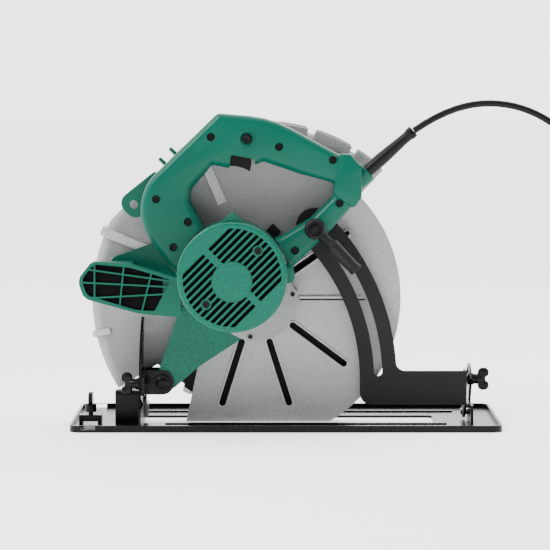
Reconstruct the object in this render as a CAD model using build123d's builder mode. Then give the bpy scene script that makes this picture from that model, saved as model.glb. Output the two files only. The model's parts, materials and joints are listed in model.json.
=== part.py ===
"""Corded circular saw: base, bevel and depth pivots, guards, gear train, motor, handle and cord.

Frame: +X towards the rear, -Y towards the motor, +Z up, millimetres. The blade runs in the plane Y = 0,
Z = 0 is the underside of the base, and X = 0 is the middle of the base.
"""

import os
from math import atan2, cos, degrees, hypot, pi, radians, sin, tan

from build123d import *

os.makedirs("parts", exist_ok=True)

# ---------------------------------------------------------------- driving dimensions
BASE_X = 265.0  # half length of the base
BASE_NEAR, BASE_FAR = -125.0, 120.0
BASE_T = 3.0
RIM_H, RIM_T = 8.5, 3.0
WINDOW_X, WINDOW_NEAR, WINDOW_FAR = 186.0, -50.0, 30.0

PIVOT = (-152.6, 57.0)  # depth pivot, X and Z
ARBOR = (-38.0, 158.0)  # blade axis
GEAR_MODULE, PINION_TEETH, GEAR_TEETH = 1.5, 10, 50
CENTRE_DISTANCE = GEAR_MODULE * (PINION_TEETH + GEAR_TEETH) / 2
MOTOR_ANGLE = 126.5  # direction from the arbor to the motor axis
MOTOR = (
    ARBOR[0] + CENTRE_DISTANCE * cos(radians(MOTOR_ANGLE)),
    ARBOR[1] + CENTRE_DISTANCE * sin(radians(MOTOR_ANGLE)),
)

BLADE_R, BLADE_T, BLADE_TEETH = 152.0, 2.6, 36
LOWER_R, UPPER_R, GUARD_T = 182.0, 214.0, 2.0
UPPER_CENTRE = (ARBOR[0] + 9.4, ARBOR[1] - 0.6)
GUARD_FLOOR = 2.0  # underside of the lower guard when closed
MOTOR_R = 66.0

BEVEL_Z = 12.0  # height of the bevel axis, which lies in Y = 0
FRONT_PLATE_X, REAR_PLATE_X, PLATE_T = -180.0, 230.0, 3.0
FRONT_BOLT = (-105.0, 58.0)  # Y and Z of the front wing bolt
REAR_BOLT = (-27.0, 56.0)
BEVEL_MAX = 45.0

ARC_R_IN, ARC_R_SLOT, ARC_R_OUT, SLOT_W = 245.0, 268.0, 291.0, 10.6
ARC_TOP = 45.4  # direction of the lock bolt from the depth pivot
LOCK_BOLT = (
    PIVOT[0] + ARC_R_SLOT * cos(radians(ARC_TOP)),
    PIVOT[1] + ARC_R_SLOT * sin(radians(ARC_TOP)),
)

CORD_D = 8.4


# ---------------------------------------------------------------- helpers
def layer(y):
    """Sketch plane across the saw at depth y; extrusions from it run towards -Y."""
    return Plane.XZ.offset(-y)


def across(x):
    """Sketch plane square to the saw's length at x; extrusions from it run towards +X."""
    return Plane.YZ.offset(x)


def polar(centre, radius, angle):
    """Point at a radius and an angle in degrees round a centre."""
    return (centre[0] + radius * cos(radians(angle)), centre[1] + radius * sin(radians(angle)))


def outline(*corners, mode=Mode.ADD):
    """Closed face from corners given as (x, z, corner radius)."""
    with BuildLine() as edge:
        FilletPolyline(*[c[:2] for c in corners], radius=[c[2] for c in corners], close=True)
    make_face(edge.line.edges(), mode=mode)


def disc(centre, radius, mode=Mode.ADD):
    """Disc placed in the current sketch."""
    with Locations(centre):
        Circle(radius, mode=mode)


def sector(centre, r_in, r_out, start, end, mode=Mode.ADD):
    """Part of a ring between two angles."""
    middle = (start + end) / 2
    with BuildLine() as edge:
        ThreePointArc(polar(centre, r_out, start), polar(centre, r_out, middle), polar(centre, r_out, end))
        Line(polar(centre, r_out, end), polar(centre, r_in, end))
        ThreePointArc(polar(centre, r_in, end), polar(centre, r_in, middle), polar(centre, r_in, start))
        Line(polar(centre, r_in, start), polar(centre, r_out, start))
    make_face(edge.line.edges(), mode=mode)


def arc_slot(centre, radius, start, end, width, mode=Mode.SUBTRACT):
    """Curved slot with round ends."""
    sector(centre, radius - width / 2, radius + width / 2, start, end, mode=mode)
    for angle in (start, end):
        disc(polar(centre, radius, angle), width / 2, mode=mode)


def save(part, name):
    """Label a finished piece and write it to its own file."""
    part.part.label = name
    export_step(part.part, f"parts/{name}.step")


def round_stack(name, centre, steps, bore=None):
    """Turned piece along Y: steps are (y far, y near, radius), bore is (y far, y near, radius)."""
    with BuildPart() as piece:
        for far, near, radius in steps:
            with BuildSketch(layer(far)):
                disc(centre, radius)
            extrude(amount=far - near)
        if bore:
            far, near, radius = bore
            with BuildSketch(layer(far)):
                disc(centre, radius)
            extrude(amount=far - near, mode=Mode.SUBTRACT)
    save(piece, name)
    return piece


def screws(name, places, head, shank):
    """Group of round-head screws along Y: head and shank are (y far, y near, radius)."""
    with BuildPart() as group:
        for far, near, radius in (head, shank):
            with BuildSketch(layer(far)):
                with Locations(*places):
                    Circle(radius)
            extrude(amount=far - near)
        far, near, radius = head
        with BuildSketch(layer(near + radius * 0.5)):
            with Locations(*places):
                RegularPolygon(radius * 0.45, 6)
        extrude(amount=radius * 0.5, mode=Mode.SUBTRACT)
    save(group, name)


# ---------------------------------------------------------------- base and bevel brackets
FENCE_X = -242.0
with BuildPart() as base_plate:
    with BuildSketch(Plane.XY):
        with Locations((0, (BASE_NEAR + BASE_FAR) / 2)):
            RectangleRounded(2 * BASE_X, BASE_FAR - BASE_NEAR, 14)
    extrude(amount=RIM_H)
    with BuildSketch(Plane.XY.offset(BASE_T)):
        with Locations((0, (BASE_NEAR + BASE_FAR) / 2)):
            RectangleRounded(2 * (BASE_X - RIM_T), BASE_FAR - BASE_NEAR - 2 * RIM_T, 11)
    extrude(amount=RIM_H, mode=Mode.SUBTRACT)
    # Embossed stiffening ribs along the plate.
    for rib_y, rib_x0, rib_x1 in ((-108, -165, 230), (-92, -165, 215), (-62, -150, 200), (70, -190, 215)):
        with BuildSketch(Plane.XY.offset(BASE_T)):
            with Locations(((rib_x0 + rib_x1) / 2, rib_y)):
                SlotOverall(rib_x1 - rib_x0, 7)
        extrude(amount=1.8)
    # Blade window.
    with BuildSketch(Plane.XY):
        with Locations((0, (WINDOW_NEAR + WINDOW_FAR) / 2)):
            RectangleRounded(2 * WINDOW_X, WINDOW_FAR - WINDOW_NEAR, 6)
    extrude(amount=3 * RIM_H, mode=Mode.SUBTRACT)
    # Slots through both rims for a rip fence bar.
    with BuildSketch(Plane.XZ.offset(-BASE_FAR - 1)):
        with Locations((FENCE_X, BASE_T + 2.4)):
            Rectangle(18, 4.8)
    extrude(amount=BASE_FAR - BASE_NEAR + 2, mode=Mode.SUBTRACT)
save(base_plate, "base_plate")

FENCE_SCREW_Y = -65.0
with BuildPart() as fence_bracket:
    with BuildSketch(across(FENCE_X - 14)):
        with Locations((FENCE_SCREW_Y, 9.5)):
            Rectangle(22, 13)
    extrude(amount=28)
    with BuildSketch(across(FENCE_X - 9.2)):
        with Locations((FENCE_SCREW_Y, BASE_T + 2.4)):
            Rectangle(24, 5.2)
    extrude(amount=18.4, mode=Mode.SUBTRACT)
    with BuildSketch(Plane.XY):
        with Locations((FENCE_X, FENCE_SCREW_Y)):
            Circle(3.05)
    extrude(amount=20, mode=Mode.SUBTRACT)
save(fence_bracket, "fence_bracket")

with BuildPart() as fence_screw:
    with BuildSketch(Plane.XY.offset(8.6)):
        with Locations((FENCE_X, FENCE_SCREW_Y)):
            Circle(3.0)
    extrude(amount=20)
    with BuildSketch(Plane.XY.offset(19)):
        with Locations((FENCE_X, FENCE_SCREW_Y)):
            Circle(7.0)
    extrude(amount=10)
    with BuildSketch(across(FENCE_X - 2.5)):
        with Locations((FENCE_SCREW_Y, 35)):
            SlotOverall(26, 16)
            with Locations((0, 8)):
                Circle(4, mode=Mode.SUBTRACT)
    extrude(amount=5)
save(fence_screw, "fence_screw")


def bevel_bracket(x, radius, slot_start, half_width, limit_y, body_z):
    """Upright plate on the base with an arc slot round the bevel axis."""
    bevel_axis = (0, BEVEL_Z)
    slot_end = slot_start + BEVEL_MAX
    with BuildPart() as bracket:
        with BuildSketch(across(x)):
            sector(bevel_axis, 1, radius + half_width, 180 - slot_end - 8, 180 - slot_start + 10)
            with Locations((-(radius + half_width) / 2 + 4, (body_z + BASE_T) / 2)):
                Rectangle(radius + half_width + 12, body_z - BASE_T)
            with Locations((limit_y + 150, 150 + body_z)):
                Rectangle(300, 300, mode=Mode.SUBTRACT)
            with Locations((0, -150 + BASE_T)):
                Rectangle(600, 300, mode=Mode.SUBTRACT)
            with Locations((BASE_NEAR + RIM_T + 0.5 - 100, 0)):
                Rectangle(200, 2 * RIM_H + 2, mode=Mode.SUBTRACT)
            arc_slot(bevel_axis, radius, 180 - slot_end - 1, 180 - slot_start + 1, 8.6)
            disc(bevel_axis, 4.05, mode=Mode.SUBTRACT)
        extrude(amount=PLATE_T)
    return bracket


front_r = hypot(FRONT_BOLT[0], FRONT_BOLT[1] - BEVEL_Z)
front_start = degrees(atan2(FRONT_BOLT[1] - BEVEL_Z, -FRONT_BOLT[0]))
front_quadrant = bevel_bracket(FRONT_PLATE_X, front_r, front_start, 13, -35.6, 28)
save(front_quadrant, "front_quadrant")
rear_r = hypot(REAR_BOLT[0], REAR_BOLT[1] - BEVEL_Z)
rear_start = degrees(atan2(REAR_BOLT[1] - BEVEL_Z, -REAR_BOLT[0]))
rear_quadrant = bevel_bracket(REAR_PLATE_X, rear_r, rear_start, 9, 60, 26)
save(rear_quadrant, "rear_quadrant")

with BuildPart() as hinge_block:
    with BuildSketch(across(-212)):
        with BuildLine():
            FilletPolyline(
                (-60, BASE_T), (-60, 44), (-32, 44), (-32, 23), (13, 23), (13, BASE_T),
                radius=[0, 4, 4, 4, 4, 0],
                close=True,
            )
        make_face()
        disc((0, BEVEL_Z), 4.0, mode=Mode.SUBTRACT)
    extrude(amount=FRONT_PLATE_X + 212)
save(hinge_block, "front_hinge_block")

with BuildPart() as hinge_pins:
    with BuildSketch(across(-212)):
        disc((0, BEVEL_Z), 4.0)
    extrude(amount=38.9)
    with BuildSketch(across(221)):
        disc((0, BEVEL_Z), 4.0)
    extrude(amount=14)
    with BuildSketch(across(REAR_PLATE_X + PLATE_T)):
        disc((0, BEVEL_Z), 6.5)
    extrude(amount=4)
save(hinge_pins, "hinge_pins")

# Front tilt bracket: an upright flange behind the quadrant and two ears that carry the depth pivot.
EAR_NEAR, EAR_FAR, EAR_T = -82.0, -41.0, 3.5
FLANGE_X = FRONT_PLATE_X + PLATE_T + 0.5
with BuildPart() as tilt_bracket:
    with BuildSketch(across(FLANGE_X)):
        with BuildLine():
            FilletPolyline(
                (-119, 44), (-119, 72), (-38, 72), (-38, 25), (9, 25), (9, 5.5),
                (-14, 5.5), (-60, 34), (-60, 44),
                radius=[5, 5, 3, 2, 5, 5, 8, 4, 3],
                close=True,
            )
        make_face()
        disc((0, BEVEL_Z), 4.06, mode=Mode.SUBTRACT)
        disc(FRONT_BOLT, 4.06, mode=Mode.SUBTRACT)
    extrude(amount=3.5)
    for ear_y in (EAR_NEAR + EAR_T, EAR_FAR):
        with BuildSketch(layer(ear_y)):
            with BuildLine():
                FilletPolyline(
                    (FLANGE_X, 42), (FLANGE_X, 72), (PIVOT[0] + 14, 72), (PIVOT[0] + 14, 42),
                    radius=[0, 0, 13.5, 13.5],
                    close=True,
                )
            make_face()
            disc(PIVOT, 4.06, mode=Mode.SUBTRACT)
        extrude(amount=EAR_T)
save(tilt_bracket, "front_tilt_bracket")

with BuildPart() as pivot_bolt:
    with BuildSketch(layer(EAR_FAR + 5)):
        disc(PIVOT, 4.0)
    extrude(amount=EAR_FAR + 5 - EAR_NEAR)
    with BuildSketch(layer(EAR_NEAR)):
        disc(PIVOT, 10.0)
    extrude(amount=1.6)
    with BuildSketch(layer(EAR_NEAR - 1.6)):
        disc(PIVOT, 7.6)
    extrude(amount=5)
    chamfer(pivot_bolt.faces().sort_by(Axis.Y)[0].edges(), 1.8)
save(pivot_bolt, "depth_pivot_bolt")

with BuildPart() as pivot_nut:
    with BuildSketch(layer(EAR_FAR + 4.5)):
        with Locations(PIVOT):
            RegularPolygon(7, 6)
        disc(PIVOT, 4.0, mode=Mode.SUBTRACT)
    extrude(amount=4.5)
save(pivot_nut, "depth_pivot_nut")


def wing_bolt(name, start, end, centre, shank_end, reach):
    """Bolt along X with a two-lobed wing, which lies between start and end; the shank ends at shank_end."""
    way = 1 if end > start else -1
    low, high = sorted((start, end))
    with BuildPart() as bolt:
        first, last = sorted((shank_end, start + way * 2))
        with BuildSketch(across(first)):
            disc(centre, 4.0)
        extrude(amount=last - first)
        collar = min(start, start + way * 8)
        with BuildSketch(across(collar)):
            disc(centre, 7.0)
        extrude(amount=8)
        with BuildSketch(Plane.XZ.offset(-centre[0] - 3)):
            with Locations(((low + high) / 2 + way * 3, centre[1])):
                with Locations((0, reach - 6.5), (0, 6.5 - reach)):
                    Circle(6.5)
                Rectangle(9, 2 * reach - 12)
        extrude(amount=6)
    save(bolt, name)


wing_bolt("front_wing_bolt", FRONT_PLATE_X - 1.5, FRONT_PLATE_X - 24, FRONT_BOLT, FLANGE_X + 8, 14.5)
wing_bolt("rear_wing_bolt", REAR_PLATE_X + PLATE_T + 1.5, REAR_PLATE_X + 26, REAR_BOLT, REAR_PLATE_X - 10, 14)

# Depth guide: slotted arc round the depth pivot, with an arm back to its own flange at the rear quadrant.
GUIDE_FAR, GUIDE_T = -42.0, 3.0
REAR_FLANGE_X = REAR_PLATE_X - 4.0
with BuildPart() as depth_guide:
    with BuildSketch(layer(GUIDE_FAR)):
        sector(PIVOT, ARC_R_IN, ARC_R_OUT, 0, ARC_TOP)
        disc(polar(PIVOT, ARC_R_SLOT, ARC_TOP), (ARC_R_OUT - ARC_R_IN) / 2)
        with BuildLine():
            FilletPolyline(
                (PIVOT[0] + ARC_R_IN, 67.6), (PIVOT[0] + ARC_R_IN, 25),
                (REAR_FLANGE_X, 25), (REAR_FLANGE_X, 67.6),
                radius=[0, 15, 0, 0],
                close=True,
            )
        make_face()
        with BuildLine():
            fillet_x = PIVOT[0] + ARC_R_OUT
            Polyline((fillet_x - 6, 60), (fillet_x + 12, 67.5), (fillet_x - 2, 82), (fillet_x - 6, 60))
        make_face()
        disc((fillet_x + 10.5, 79), 11.4, mode=Mode.SUBTRACT)
        arc_slot(PIVOT, ARC_R_SLOT, 2.0, ARC_TOP, SLOT_W)
    extrude(amount=GUIDE_T)
    with BuildSketch(across(REAR_FLANGE_X - 3)):
        with BuildLine():
            FilletPolyline(
                (GUIDE_FAR - GUIDE_T, 25), (GUIDE_FAR - GUIDE_T, 67.6), (-14, 67.6), (10, 25),
                (10, 14), (2.5, 5.5), (-12, 5.5),
                radius=[2, 4, 10, 5, 4, 4, 5],
                close=True,
            )
        make_face()
        disc((0, BEVEL_Z), 4.06, mode=Mode.SUBTRACT)
        disc(REAR_BOLT, 4.06, mode=Mode.SUBTRACT)
    extrude(amount=3)
save(depth_guide, "depth_guide")

# ---------------------------------------------------------------- guards
UPPER_NEAR, UPPER_FAR = -33.0, 28.0
SIDE_T = 3.0


with BuildPart() as upper_guard:
    with BuildSketch(layer(UPPER_FAR)):
        sector(UPPER_CENTRE, 1, UPPER_R, 47, 212)
        with Locations(Location((-168 - 60 * 0.717, 307 + 60 * 0.697), 45.8)):
            Rectangle(220, 120, mode=Mode.SUBTRACT)
    extrude(amount=UPPER_FAR - UPPER_NEAR)
    fillet(upper_guard.edges().group_by(Axis.Y)[0].filter_by(GeomType.CIRCLE).sort_by(SortBy.RADIUS)[-1], 13)
    # The hollow steps in behind the rounded near edge, to keep the wall whole there.
    for far, near, inset in ((UPPER_FAR - SIDE_T, -20, SIDE_T), (-20, UPPER_NEAR + SIDE_T, 8)):
        with BuildSketch(layer(far)):
            sector(UPPER_CENTRE, 0.5, UPPER_R - inset, 46, 213)
            with Locations(Location((-168 - (60 - inset) * 0.717, 307 + (60 - inset) * 0.697), 45.8)):
                Rectangle(226, 120, mode=Mode.SUBTRACT)
        extrude(amount=far - near, mode=Mode.SUBTRACT)
    # Far side open round the blade bolt.
    with BuildSketch(layer(UPPER_FAR + 1)):
        disc(ARBOR, 62)
    extrude(amount=SIDE_T + 2, mode=Mode.SUBTRACT)
    # Near side open where the gear case boss passes, and below the arbor.
    with BuildSketch(layer(UPPER_NEAR + SIDE_T + 1)):
        disc(ARBOR, 40)
        with BuildLine():
            Polyline(ARBOR, (-92, 110), (-130, 47), (-130, -60), (60, -60), (60, 120), ARBOR)
        make_face()
    extrude(amount=SIDE_T + 2, mode=Mode.SUBTRACT)
    # Raised pads on the rim.
    for pad_start, pad_end in ((49, 57), (60, 72), (75.6, 100)):
        with BuildSketch(layer(UPPER_FAR - 4)):
            sector(UPPER_CENTRE, UPPER_R - 2, UPPER_R + 7, pad_start, pad_end)
        extrude(amount=38)
save(upper_guard, "upper_guard")

LOWER_NEAR, LOWER_FAR = -24.0, 14.0
BOSS_R, HUB_R = 34.0, 41.0
SLOT_ANGLES = (-107.3, -72.3, -36.8, 35.0)


def lower_outline(inset):
    """Closed lower guard seen square on, drawn in by inset."""
    disc(ARBOR, LOWER_R - inset)
    with BuildLine() as edge:
        Polyline(
            (-125 + inset, GUARD_FLOOR + inset),
            (-91.5 + inset, 158),
            (-76 + inset, 190),
            polar(ARBOR, 52, 75),
            polar(ARBOR, 260, 62 - inset),
            (260, 260),
            (260, GUARD_FLOOR + inset),
            (-125 + inset, GUARD_FLOOR + inset),
        )
    make_face(edge.line.edges(), mode=Mode.INTERSECT)


with BuildPart() as lower_guard:
    with BuildSketch(layer(LOWER_FAR)):
        lower_outline(0)
    extrude(amount=LOWER_FAR - LOWER_NEAR)
    with BuildSketch(layer(LOWER_FAR - GUARD_T)):
        disc(ARBOR, LOWER_R - GUARD_T)
        with BuildLine():
            Polyline((-300, GUARD_FLOOR + GUARD_T), (-300, 400), (300, 400), (300, GUARD_FLOOR + GUARD_T),
                     (-300, GUARD_FLOOR + GUARD_T))
        make_face(mode=Mode.INTERSECT)
    extrude(amount=LOWER_FAR - LOWER_NEAR - 2 * GUARD_T, mode=Mode.SUBTRACT)
    with BuildSketch(layer(LOWER_FAR + 1)):
        disc(ARBOR, 112)
    extrude(amount=GUARD_T + 2, mode=Mode.SUBTRACT)
    with BuildSketch(layer(LOWER_NEAR + 4)):
        disc(ARBOR, HUB_R)
    extrude(amount=5)
    with BuildSketch(layer(LOWER_NEAR + 6)):
        disc(ARBOR, BOSS_R + 0.05)
    extrude(amount=9, mode=Mode.SUBTRACT)
    # Radial slots with raised rims.
    for angle in SLOT_ANGLES:
        with BuildSketch(layer(LOWER_NEAR)):
            with Locations(Location(polar(ARBOR, 98.5, angle), angle)):
                SlotOverall(93, 13)
        extrude(amount=1.5)
        with BuildSketch(layer(LOWER_NEAR + GUARD_T + 1)):
            with Locations(Location(polar(ARBOR, 98.5, angle), angle)):
                SlotOverall(88, 8)
        extrude(amount=6, mode=Mode.SUBTRACT)
save(lower_guard, "lower_guard")

# ---------------------------------------------------------------- blade and spindle
with BuildPart() as saw_blade:
    with BuildSketch(layer(BLADE_T / 2)):
        disc(ARBOR, BLADE_R - 9)
        disc(ARBOR, 12.55, mode=Mode.SUBTRACT)
    extrude(amount=BLADE_T)
    for tooth in range(BLADE_TEETH):
        start = 360 * tooth / BLADE_TEETH
        pitch = 360 / BLADE_TEETH
        with BuildSketch(layer(BLADE_T / 2)):
            with BuildLine():
                Polyline(
                    polar(ARBOR, BLADE_R - 12, start),
                    polar(ARBOR, BLADE_R - 9.5, start + 0.1 * pitch),
                    polar(ARBOR, BLADE_R, start + 0.25 * pitch),
                    polar(ARBOR, BLADE_R - 2, start + 0.6 * pitch),
                    polar(ARBOR, BLADE_R - 8.5, start + 0.95 * pitch),
                    polar(ARBOR, BLADE_R - 12, start + 0.98 * pitch),
                    close=True,
                )
            make_face()
        extrude(amount=BLADE_T)
save(saw_blade, "saw_blade")

GEAR_FAR, GEAR_NEAR = -52.0, -66.0
round_stack("spindle", ARBOR, [(1.2, -7, 12.5), (-7, -77, 9)], bore=(2, -14, 5.05))
round_stack("inner_flange", ARBOR, [(-1.3, -7, 26)], bore=(0, -8, 12.5))
round_stack("outer_flange", ARBOR, [(6.3, 1.3, 26)], bore=(7, 0, 5.05))
with BuildPart() as blade_bolt:
    with BuildSketch(layer(6.3)):
        disc(ARBOR, 5.0)
    extrude(amount=19)
    with BuildSketch(layer(13.5)):
        with Locations(ARBOR):
            RegularPolygon(10, 6)
    extrude(amount=7.2)
    with BuildSketch(layer(8.3)):
        disc(ARBOR, 13)
    extrude(amount=2)
save(blade_bolt, "blade_bolt")


def gear(centre, teeth, phase, bore_r=None):
    """Straight-tooth spur gear with slim flanks, so that the pair turns with a little backlash."""
    pitch_r = GEAR_MODULE * teeth / 2
    root_r = pitch_r - 1.15 * GEAR_MODULE
    pitch_angle = 360 / teeth
    tip_r = pitch_r + 0.8 * GEAR_MODULE
    with BuildPart() as wheel:
        with BuildSketch(layer(GEAR_FAR)):
            disc(centre, root_r)
        extrude(amount=GEAR_FAR - GEAR_NEAR)
        for tooth in range(teeth):
            middle = phase + tooth * pitch_angle
            with BuildSketch(layer(GEAR_FAR)):
                with BuildLine():
                    Polyline(
                        polar(centre, root_r - 0.4, middle - 0.27 * pitch_angle),
                        polar(centre, pitch_r, middle - 0.205 * pitch_angle),
                        polar(centre, tip_r, middle - 0.1 * pitch_angle),
                        polar(centre, tip_r, middle + 0.1 * pitch_angle),
                        polar(centre, pitch_r, middle + 0.205 * pitch_angle),
                        polar(centre, root_r - 0.4, middle + 0.27 * pitch_angle),
                        close=True,
                    )
                make_face()
            extrude(amount=GEAR_FAR - GEAR_NEAR)
        if bore_r:
            with BuildSketch(layer(GEAR_FAR + 1)):
                disc(centre, bore_r)
            extrude(amount=GEAR_FAR - GEAR_NEAR + 2, mode=Mode.SUBTRACT)
    return wheel


spindle_gear = gear(ARBOR, GEAR_TEETH, MOTOR_ANGLE, 9)
save(spindle_gear, "spindle_gear")


def ring(name, centre, far, near, r_out, r_in):
    """Plain ring along Y, such as a bearing."""
    return round_stack(name, centre, [(far, near, r_out)], bore=(far + 1, near - 1, r_in))


ring("spindle_bearing_front", ARBOR, -34, -44, 17.5, 9.05)
ring("spindle_bearing_rear", ARBOR, -69, -76, 14, 9.05)

# ---------------------------------------------------------------- gear case
CASE_FAR, CASE_NEAR = -33.0, -78.0
CASE_SCREWS = ((8.4, 166), (-44, 113.5))
with BuildPart() as gear_case:
    with BuildSketch(layer(CASE_FAR)):
        disc(MOTOR, 59.5)
        disc(ARBOR, 50)
        for place in CASE_SCREWS:
            disc(place, 7)
    extrude(amount=CASE_FAR - CASE_NEAR)
    with BuildSketch(layer(-19)):
        disc(ARBOR, BOSS_R)
    extrude(amount=14)
    # Gear chamber, bearing seats and shaft holes.
    with BuildSketch(layer(-50)):
        disc(ARBOR, 42)
        disc(MOTOR, 13)
    extrude(amount=18, mode=Mode.SUBTRACT)
    for seat_far, seat_near, centre, radius in (
        (-10, -44, ARBOR, 17.5),
        (-44, -50, ARBOR, 12),
        (-68, -76, ARBOR, 14),
        (-76, -79, ARBOR, 10),
        (-68, -72, MOTOR, 9.5),
        (-72, -79, MOTOR, 14),
    ):
        with BuildSketch(layer(seat_far)):
            disc(centre, radius)
        extrude(amount=seat_far - seat_near, mode=Mode.SUBTRACT)
save(gear_case, "gear_case")
screws("gear_case_screws", CASE_SCREWS, (CASE_NEAR, CASE_NEAR - 2.5, 2.8), (CASE_NEAR, CASE_NEAR - 0.5, 2))
ring("guard_retaining_ring", ARBOR, -17.2, -19, 38, 27)

with BuildPart() as guard_spring:
    for turn in range(3):
        with BuildSketch(layer(-25.6 - 2.2 * turn)):
            disc(ARBOR, 38)
            disc(ARBOR, 35.6, mode=Mode.SUBTRACT)
        extrude(amount=1.6)
save(guard_spring, "guard_spring")

# ---------------------------------------------------------------- motor
HOUSING_NEAR, COVER_NEAR, LUG_FAR = -176.0, -192.0, -97.0
with BuildPart() as motor_housing:
    with BuildSketch(layer(CASE_NEAR)):
        disc(MOTOR, MOTOR_R - 1.5)
    extrude(amount=CASE_NEAR - HOUSING_NEAR)
    # Pointed lug on top and round lug at the rear, clear of the handle.
    with BuildSketch(layer(LUG_FAR)):
        with BuildLine():
            wedge = ((-16, 62), (0, 76.5), (16, 62))
            Polyline(*[(MOTOR[0] + dx, MOTOR[1] + dz) for dx, dz in wedge], close=True)
        make_face()
        disc((MOTOR[0] + 66, MOTOR[1] + 1), 9)
    extrude(amount=LUG_FAR - HOUSING_NEAR)
    with BuildSketch(layer(CASE_NEAR + 1)):
        disc(MOTOR, MOTOR_R - 6)
        disc(CASE_SCREWS[0], 8)
    extrude(amount=CASE_NEAR - HOUSING_NEAR + 2, mode=Mode.SUBTRACT)
save(motor_housing, "motor_housing")

COVER_BADGE = (MOTOR[0], MOTOR[1] - 5)
COVER_SCREWS = tuple((MOTOR[0] + s * 31, MOTOR[1] + s * 32) for s in (1, -1))
with BuildPart() as motor_cover:
    with BuildSketch(layer(HOUSING_NEAR)):
        disc(MOTOR, MOTOR_R)
    extrude(amount=HOUSING_NEAR - COVER_NEAR)
    fillet(motor_cover.faces().sort_by(Axis.Y)[0].edges(), 3)
    with BuildSketch(layer(HOUSING_NEAR + 1)):
        disc(MOTOR, MOTOR_R - 4)
    extrude(amount=HOUSING_NEAR - COVER_NEAR - 2.5, mode=Mode.SUBTRACT)
    with BuildSketch(layer(HOUSING_NEAR)):
        disc(MOTOR, 17)
        with Locations(*COVER_SCREWS):
            Circle(6)
        disc(MOTOR, 13, mode=Mode.SUBTRACT)
    extrude(amount=HOUSING_NEAR - COVER_NEAR - 2)
    # Slanted cooling slots, left out of a plain band, the badge, the screws and two blank crescents.
    with BuildSketch(layer(COVER_NEAR + 4)):
        for step in range(-6, 7):
            shift = 7.0 * step
            with Locations(Location(polar(MOTOR, shift, -45), 45)):
                SlotOverall(140, 4.4)
        disc(MOTOR, MOTOR_R - 7, mode=Mode.INTERSECT)
        with Locations(Location(MOTOR, -45)):
            Rectangle(140, 8.6, mode=Mode.SUBTRACT)
        disc(COVER_BADGE, 24.5, mode=Mode.SUBTRACT)
        with Locations(*COVER_SCREWS):
            Circle(6.5, mode=Mode.SUBTRACT)
    extrude(amount=6, mode=Mode.SUBTRACT)
    with BuildSketch(layer(COVER_NEAR + 0.1)):
        disc(COVER_BADGE, 23.5)
    extrude(amount=1.3)
    with BuildSketch(layer(COVER_NEAR + 20)):
        with Locations(*COVER_SCREWS):
            Circle(2.6)
    extrude(amount=30, mode=Mode.SUBTRACT)
save(motor_cover, "motor_cover")
screws("motor_cover_screws", COVER_SCREWS, (COVER_NEAR, COVER_NEAR - 2.4, 4.4), (-172, COVER_NEAR, 2.5))

ring("motor_bearing_rear", MOTOR, -179, -188, 13, 5.05)
ring("motor_bearing_front", MOTOR, -72, -78, 14, 5.05)
# Two-pole lamination stack: flat top and bottom, with four windows beside the poles for the field coils.
with BuildPart() as stator_core:
    with BuildSketch(layer(-110)):
        disc(MOTOR, MOTOR_R - 6)
        with Locations(MOTOR):
            Rectangle(120, 84, mode=Mode.INTERSECT)
        disc(MOTOR, 31, mode=Mode.SUBTRACT)
        for window in range(4):
            angle = (38, 142, 218, 322)[window]
            with Locations(Location(polar(MOTOR, 40, angle), angle)):
                RectangleRounded(9, 20, 2, mode=Mode.SUBTRACT)
    extrude(amount=46)
save(stator_core, "stator_core")
# The pinion is cut on the end of the shaft.
pinion = gear(MOTOR, PINION_TEETH, MOTOR_ANGLE + 180 + 180 / PINION_TEETH)
with BuildPart() as motor_shaft:
    add(pinion.part)
    with BuildSketch(layer(GEAR_FAR)):
        disc(MOTOR, 5)
    extrude(amount=GEAR_FAR + 188)
save(motor_shaft, "motor_shaft")
ring("armature_core", MOTOR, -110, -156, 29.5, 5)
ring("armature_windings", MOTOR, -158, -164, 24, 5)
with BuildPart() as commutator:
    with BuildSketch(layer(-165)):
        disc(MOTOR, 13)
        disc(MOTOR, 5, mode=Mode.SUBTRACT)
        for bar in range(24):
            with Locations(Location(polar(MOTOR, 12.6, bar * 15), bar * 15)):
                Rectangle(2, 0.5, mode=Mode.SUBTRACT)
    extrude(amount=10.5)
save(commutator, "commutator")
with BuildPart() as fan:
    with BuildSketch(layer(-84)):
        disc(MOTOR, 52)
        disc(MOTOR, 5, mode=Mode.SUBTRACT)
    extrude(amount=2)
    with BuildSketch(layer(-86)):
        disc(MOTOR, 12)
        disc(MOTOR, 5, mode=Mode.SUBTRACT)
    extrude(amount=12)
    for blade in range(12):
        with BuildSketch(layer(-86)):
            with Locations(Location(polar(MOTOR, 38, blade * 30), blade * 30 + 18)):
                Rectangle(24, 1.6)
        extrude(amount=12)
save(fan, "cooling_fan")
with BuildPart() as brush_holders:
    for side in (-1, 1):
        with BuildSketch(across(MOTOR[0] + side * 37 - 19)):
            with Locations((-171, MOTOR[1])):
                Rectangle(11, 11)
                Rectangle(7, 7, mode=Mode.SUBTRACT)
        extrude(amount=38)
save(brush_holders, "brush_holders")
with BuildPart() as brushes:
    for side in (-1, 1):
        with BuildSketch(across(MOTOR[0] + side * 23 - 9)):
            with Locations((-171, MOTOR[1])):
                Rectangle(6.8, 6.8)
        extrude(amount=18)
save(brushes, "carbon_brushes")

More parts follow.
